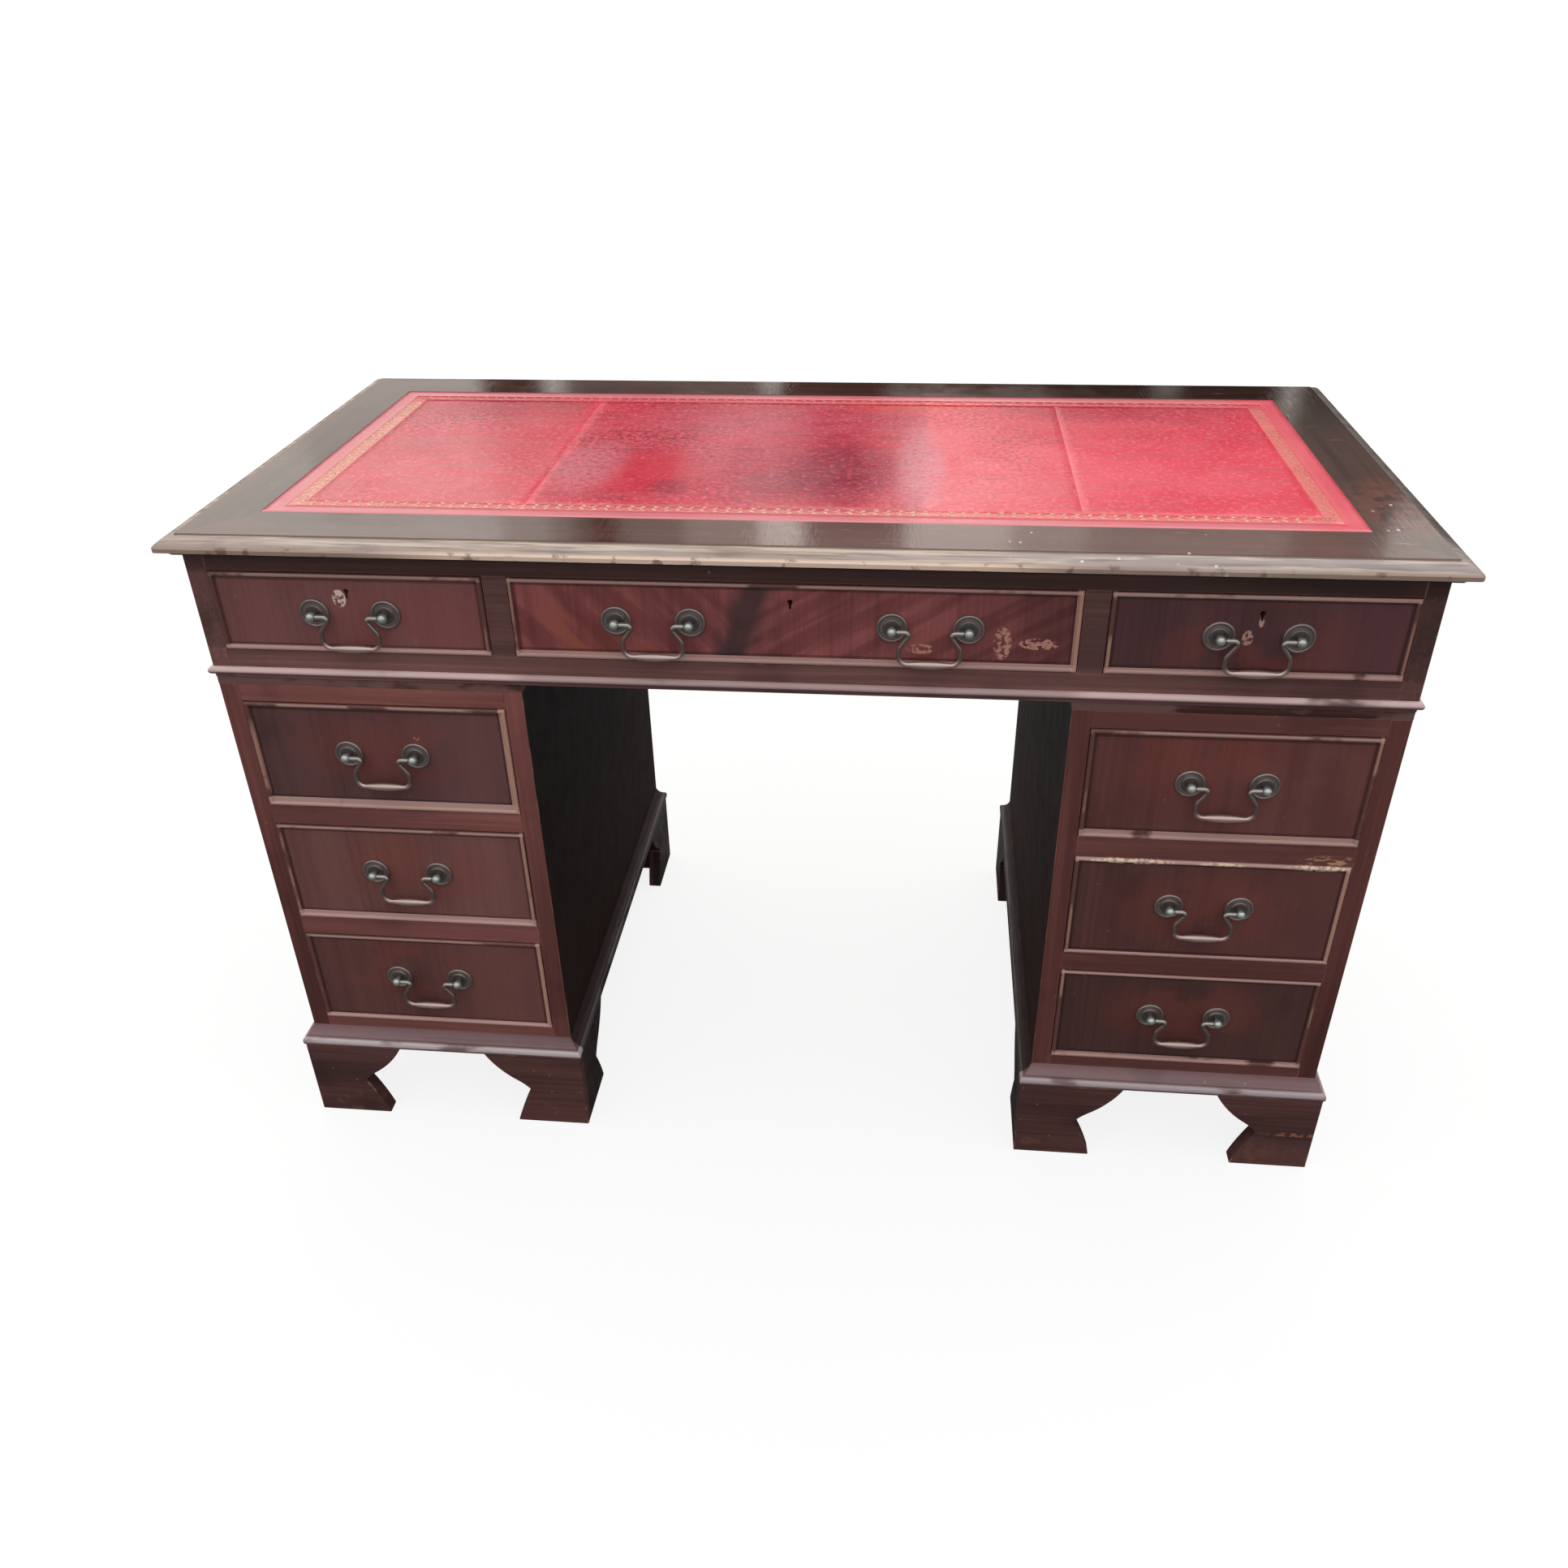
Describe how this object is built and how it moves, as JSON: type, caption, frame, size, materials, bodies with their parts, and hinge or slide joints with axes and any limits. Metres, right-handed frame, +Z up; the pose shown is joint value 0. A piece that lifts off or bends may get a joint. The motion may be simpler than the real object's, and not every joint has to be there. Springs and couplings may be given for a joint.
{
  "type": "pedestal desk",
  "caption": "Pedestal writing desk with a leather-lined moulded top, locking frieze drawers, pedestal drawers with swing handles, and shaped bracket feet.",
  "frame": {"origin": "on the floor under the middle of the top", "axes": "+Z up, the drawer fronts face -Y, +X to the sitter's right"},
  "size_m": [1.22, 0.598, 0.753],
  "materials": {
    "polished_mahogany": "polished dark red-brown mahogany, worn at the edges",
    "drawer_front_veneer": "polished figured mahogany veneer",
    "drawer_lining_timber": "planed, unpolished",
    "red_leather": "grained, mottled, with a gold tooled border",
    "antique_brass": "dark antiqued",
    "lock_brass": "dull"
  },
  "bodies": {
    "desk_carcass": {"top_board": "polished_mahogany", "top_edge_moulding": "polished_mahogany", "leather_inset": "red_leather", "frieze_ends": "polished_mahogany", "frieze_back": "polished_mahogany", "frieze_front_rails": "polished_mahogany", "frieze_dividers": "drawer_lining_timber", "frieze_bead": "polished_mahogany", "drawer_runners": "drawer_lining_timber", "pedestal_sides": "polished_mahogany", "pedestal_backs": "polished_mahogany", "pedestal_boards": "polished_mahogany", "pedestal_front_rails": "polished_mahogany", "plinth_mouldings": "polished_mahogany", "left_bracket_feet": "polished_mahogany", "right_bracket_feet": "polished_mahogany", "locating_dowels": "drawer_lining_timber"},
    "frieze_left_drawer": {"frieze_left_drawer_front": "drawer_front_veneer", "frieze_left_drawer_box": "drawer_lining_timber", "frieze_left_drawer_handle_fittings": "antique_brass", "frieze_left_drawer_lock_case": "lock_brass"},
    "frieze_left_drawer_bail": {"frieze_left_drawer_bail": "antique_brass"},
    "frieze_left_drawer_lock_bolt": {"frieze_left_drawer_lock_bolt": "lock_brass"},
    "frieze_centre_drawer": {"frieze_centre_drawer_front": "drawer_front_veneer", "frieze_centre_drawer_box": "drawer_lining_timber", "frieze_centre_drawer_handle_fittings": "antique_brass", "frieze_centre_drawer_lock_case": "lock_brass"},
    "frieze_centre_drawer_left_bail": {"frieze_centre_drawer_left_bail": "antique_brass"},
    "frieze_centre_drawer_right_bail": {"frieze_centre_drawer_right_bail": "antique_brass"},
    "frieze_centre_drawer_lock_bolt": {"frieze_centre_drawer_lock_bolt": "lock_brass"},
    "frieze_right_drawer": {"frieze_right_drawer_front": "drawer_front_veneer", "frieze_right_drawer_box": "drawer_lining_timber", "frieze_right_drawer_handle_fittings": "antique_brass", "frieze_right_drawer_lock_case": "lock_brass"},
    "frieze_right_drawer_bail": {"frieze_right_drawer_bail": "antique_brass"},
    "frieze_right_drawer_lock_bolt": {"frieze_right_drawer_lock_bolt": "lock_brass"},
    "left_lower_drawer": {"left_lower_drawer_front": "drawer_front_veneer", "left_lower_drawer_box": "drawer_lining_timber", "left_lower_drawer_handle_fittings": "antique_brass"},
    "left_lower_drawer_bail": {"left_lower_drawer_bail": "antique_brass"},
    "left_middle_drawer": {"left_middle_drawer_front": "drawer_front_veneer", "left_middle_drawer_box": "drawer_lining_timber", "left_middle_drawer_handle_fittings": "antique_brass"},
    "left_middle_drawer_bail": {"left_middle_drawer_bail": "antique_brass"},
    "left_upper_drawer": {"left_upper_drawer_front": "drawer_front_veneer", "left_upper_drawer_box": "drawer_lining_timber", "left_upper_drawer_handle_fittings": "antique_brass"},
    "left_upper_drawer_bail": {"left_upper_drawer_bail": "antique_brass"},
    "right_lower_drawer": {"right_lower_drawer_front": "drawer_front_veneer", "right_lower_drawer_box": "drawer_lining_timber", "right_lower_drawer_handle_fittings": "antique_brass"},
    "right_lower_drawer_bail": {"right_lower_drawer_bail": "antique_brass"},
    "right_middle_drawer": {"right_middle_drawer_front": "drawer_front_veneer", "right_middle_drawer_box": "drawer_lining_timber", "right_middle_drawer_handle_fittings": "antique_brass"},
    "right_middle_drawer_bail": {"right_middle_drawer_bail": "antique_brass"},
    "right_upper_drawer": {"right_upper_drawer_front": "drawer_front_veneer", "right_upper_drawer_box": "drawer_lining_timber", "right_upper_drawer_handle_fittings": "antique_brass"},
    "right_upper_drawer_bail": {"right_upper_drawer_bail": "antique_brass"}
  },
  "joints": [
    {"name": "frieze_left_drawer_slide", "type": "slide", "parent": "desk_carcass", "child": "frieze_left_drawer", "axis": [0, -1, 0], "range_m": [0, 0.36]},
    {"name": "frieze_left_drawer_bail_swing", "type": "hinge", "parent": "frieze_left_drawer", "child": "frieze_left_drawer_bail", "pos_m": [-0.43225, -0.293, 0.6745], "axis": [-1, 0, 0], "range_deg": [-10, 190]},
    {"name": "frieze_left_drawer_lock_bolt_slide", "type": "slide", "parent": "frieze_left_drawer", "child": "frieze_left_drawer_lock_bolt", "axis": [0, 0, 1], "range_m": [0, 0.007]},
    {"name": "frieze_centre_drawer_slide", "type": "slide", "parent": "desk_carcass", "child": "frieze_centre_drawer", "axis": [0, -1, 0], "range_m": [0, 0.36]},
    {"name": "frieze_centre_drawer_left_bail_swing", "type": "hinge", "parent": "frieze_centre_drawer", "child": "frieze_centre_drawer_left_bail", "pos_m": [-0.132, -0.293, 0.6745], "axis": [-1, 0, 0], "range_deg": [-10, 190]},
    {"name": "frieze_centre_drawer_right_bail_swing", "type": "hinge", "parent": "frieze_centre_drawer", "child": "frieze_centre_drawer_right_bail", "pos_m": [0.132, -0.293, 0.6745], "axis": [-1, 0, 0], "range_deg": [-10, 190]},
    {"name": "frieze_centre_drawer_lock_bolt_slide", "type": "slide", "parent": "frieze_centre_drawer", "child": "frieze_centre_drawer_lock_bolt", "axis": [0, 0, 1], "range_m": [0, 0.007]},
    {"name": "frieze_right_drawer_slide", "type": "slide", "parent": "desk_carcass", "child": "frieze_right_drawer", "axis": [0, -1, 0], "range_m": [0, 0.36]},
    {"name": "frieze_right_drawer_bail_swing", "type": "hinge", "parent": "frieze_right_drawer", "child": "frieze_right_drawer_bail", "pos_m": [0.43225, -0.293, 0.6745], "axis": [-1, 0, 0], "range_deg": [-10, 190]},
    {"name": "frieze_right_drawer_lock_bolt_slide", "type": "slide", "parent": "frieze_right_drawer", "child": "frieze_right_drawer_lock_bolt", "axis": [0, 0, 1], "range_m": [0, 0.007]},
    {"name": "left_lower_drawer_slide", "type": "slide", "parent": "desk_carcass", "child": "left_lower_drawer", "axis": [0, -1, 0], "range_m": [0, 0.36]},
    {"name": "left_lower_drawer_bail_swing", "type": "hinge", "parent": "left_lower_drawer", "child": "left_lower_drawer_bail", "pos_m": [-0.4295, -0.293, 0.21425], "axis": [-1, 0, 0], "range_deg": [-10, 190]},
    {"name": "left_middle_drawer_slide", "type": "slide", "parent": "desk_carcass", "child": "left_middle_drawer", "axis": [0, -1, 0], "range_m": [0, 0.36]},
    {"name": "left_middle_drawer_bail_swing", "type": "hinge", "parent": "left_middle_drawer", "child": "left_middle_drawer_bail", "pos_m": [-0.4295, -0.293, 0.36475], "axis": [-1, 0, 0], "range_deg": [-10, 190]},
    {"name": "left_upper_drawer_slide", "type": "slide", "parent": "desk_carcass", "child": "left_upper_drawer", "axis": [0, -1, 0], "range_m": [0, 0.36]},
    {"name": "left_upper_drawer_bail_swing", "type": "hinge", "parent": "left_upper_drawer", "child": "left_upper_drawer_bail", "pos_m": [-0.4295, -0.293, 0.51525], "axis": [-1, 0, 0], "range_deg": [-10, 190]},
    {"name": "right_lower_drawer_slide", "type": "slide", "parent": "desk_carcass", "child": "right_lower_drawer", "axis": [0, -1, 0], "range_m": [0, 0.36]},
    {"name": "right_lower_drawer_bail_swing", "type": "hinge", "parent": "right_lower_drawer", "child": "right_lower_drawer_bail", "pos_m": [0.4295, -0.293, 0.21425], "axis": [-1, 0, 0], "range_deg": [-10, 190]},
    {"name": "right_middle_drawer_slide", "type": "slide", "parent": "desk_carcass", "child": "right_middle_drawer", "axis": [0, -1, 0], "range_m": [0, 0.36]},
    {"name": "right_middle_drawer_bail_swing", "type": "hinge", "parent": "right_middle_drawer", "child": "right_middle_drawer_bail", "pos_m": [0.4295, -0.293, 0.36475], "axis": [-1, 0, 0], "range_deg": [-10, 190]},
    {"name": "right_upper_drawer_slide", "type": "slide", "parent": "desk_carcass", "child": "right_upper_drawer", "axis": [0, -1, 0], "range_m": [0, 0.36]},
    {"name": "right_upper_drawer_bail_swing", "type": "hinge", "parent": "right_upper_drawer", "child": "right_upper_drawer_bail", "pos_m": [0.4295, -0.293, 0.51525], "axis": [-1, 0, 0], "range_deg": [-10, 190]}
  ]
}
